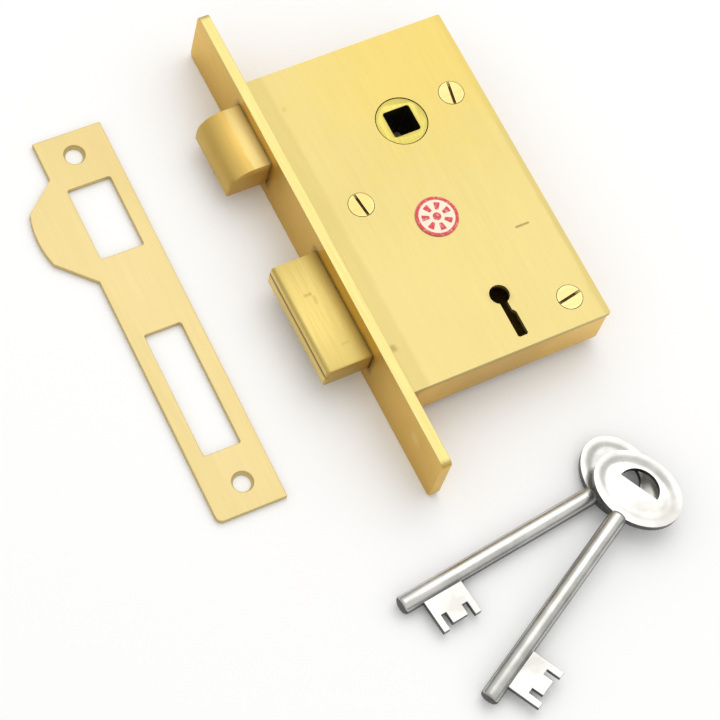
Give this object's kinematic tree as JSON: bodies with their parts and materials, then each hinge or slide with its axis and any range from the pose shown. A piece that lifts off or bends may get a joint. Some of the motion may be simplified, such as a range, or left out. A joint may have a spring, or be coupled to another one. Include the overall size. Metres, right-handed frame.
{
  "type": "mortice door lock",
  "caption": "Brass mortice door lock with key deadbolt and spring latch, with a flanged forend, a lipped strike plate and toothed keys.",
  "frame": {"origin": "middle of the forend's front face, on material between the latch and the deadbolt", "axes": "+X into the door, +Y from the deadbolt up to the latch, +Z out of the cap, with the lock lying on its back"},
  "size_m": [0.1276, 0.2087, 0.02],
  "materials": {
    "pale_brass": "satin, pale gold",
    "case_brass": "satin, deeper gold",
    "bolt_brass": "polished",
    "screw_brass": "satin",
    "lever_brass": "stamped, plain",
    "zinc_steel": "zinc plated",
    "spring_steel": "drawn wire and strip",
    "nickel_plate": "nickel plated, bright",
    "red_print": "printed label"
  },
  "bodies": {
    "lock_case": {"case_body": "case_brass", "case_cap": "pale_brass", "forend": "case_brass", "forend_rivet_1": "case_brass", "forend_rivet_2": "case_brass", "cap_pillar_1": "case_brass", "cap_pillar_2": "case_brass", "cap_pillar_3": "case_brass", "cap_screw_1": "screw_brass", "cap_screw_2": "screw_brass", "cap_screw_3": "screw_brass", "spring_guide": "zinc_steel", "latch_spring": "spring_steel", "bolt_guide_pin": "zinc_steel", "lever_pivot": "zinc_steel", "spring_stop_pin": "zinc_steel", "inspection_label": "red_print"},
    "latch": {"latch_bolt": "bolt_brass", "latch_tail": "zinc_steel"},
    "follower": {"follower": "bolt_brass"},
    "deadbolt": {"deadbolt": "bolt_brass", "bolt_stump": "zinc_steel"},
    "lever_1": {"lever_1": "lever_brass", "lever_spring_1": "spring_steel"},
    "lever_2": {"lever_2": "lever_brass", "lever_spring_2": "spring_steel"},
    "lever_3": {"lever_3": "lever_brass", "lever_spring_3": "spring_steel"},
    "lever_4": {"lever_4": "lever_brass", "lever_spring_4": "spring_steel"},
    "lever_5": {"lever_5": "lever_brass", "lever_spring_5": "spring_steel"},
    "strike_plate": {"strike_plate": "pale_brass"},
    "key_lower": {"key_lower": "nickel_plate"},
    "key_upper": {"key_upper": "nickel_plate"}
  },
  "joints": [
    {"name": "follower_turn", "type": "hinge", "parent": "lock_case", "child": "follower", "pos_m": [0.0384, 0.0234, 0], "axis": [0, 0, -1], "range_deg": [0, 40]},
    {"name": "latch_slide", "type": "slide", "parent": "lock_case", "child": "latch", "axis": [1, 0, 0], "range_m": [0, 0.0116], "stiffness_N_per_m": 400, "springref_m": -0.006, "deforming": ["latch_spring"]},
    {"name": "deadbolt_throw", "type": "slide", "parent": "lock_case", "child": "deadbolt", "axis": [1, 0, 0], "range_m": [0, 0.0134]},
    {"name": "lever_1_drop", "type": "hinge", "parent": "lock_case", "child": "lever_1", "pos_m": [0.057, -0.008, 0], "axis": [0, 0, 1], "range_deg": [0, 3.7], "stiffness_Nm_per_rad": 0.02, "springref_deg": 3.7},
    {"name": "lever_2_drop", "type": "hinge", "parent": "lock_case", "child": "lever_2", "pos_m": [0.057, -0.008, 0], "axis": [0, 0, 1], "range_deg": [0, 6.21]},
    {"name": "lever_3_drop", "type": "hinge", "parent": "lock_case", "child": "lever_3", "pos_m": [0.057, -0.008, 0], "axis": [0, 0, 1], "range_deg": [0, 9.29]},
    {"name": "lever_4_drop", "type": "hinge", "parent": "lock_case", "child": "lever_4", "pos_m": [0.057, -0.008, 0], "axis": [0, 0, 1], "range_deg": [0, 7.44]},
    {"name": "lever_5_drop", "type": "hinge", "parent": "lock_case", "child": "lever_5", "pos_m": [0.057, -0.008, 0], "axis": [0, 0, 1], "range_deg": [0, 4.98]},
    {"name": "strike_plate_lift", "type": "slide", "parent": "lock_case", "child": "strike_plate", "axis": [0, 0, 1], "range_m": [0, 0.06]},
    {"name": "key_lower_lift", "type": "slide", "parent": "lock_case", "child": "key_lower", "axis": [0, 0, 1], "range_m": [0, 0.06]},
    {"name": "key_upper_lift", "type": "slide", "parent": "key_lower", "child": "key_upper", "axis": [0, 0, 1], "range_m": [0, 0.06]}
  ],
  "couplings": [
    {"joint": "follower_turn", "follows": "latch_slide", "rad_per_m": 60.183},
    {"joint": "lever_2_drop", "follows": "lever_1_drop", "ratio": 1.6649},
    {"joint": "lever_3_drop", "follows": "lever_1_drop", "ratio": 2.4973},
    {"joint": "lever_4_drop", "follows": "lever_1_drop", "ratio": 1.9973},
    {"joint": "lever_5_drop", "follows": "lever_1_drop", "ratio": 1.3324}
  ]
}
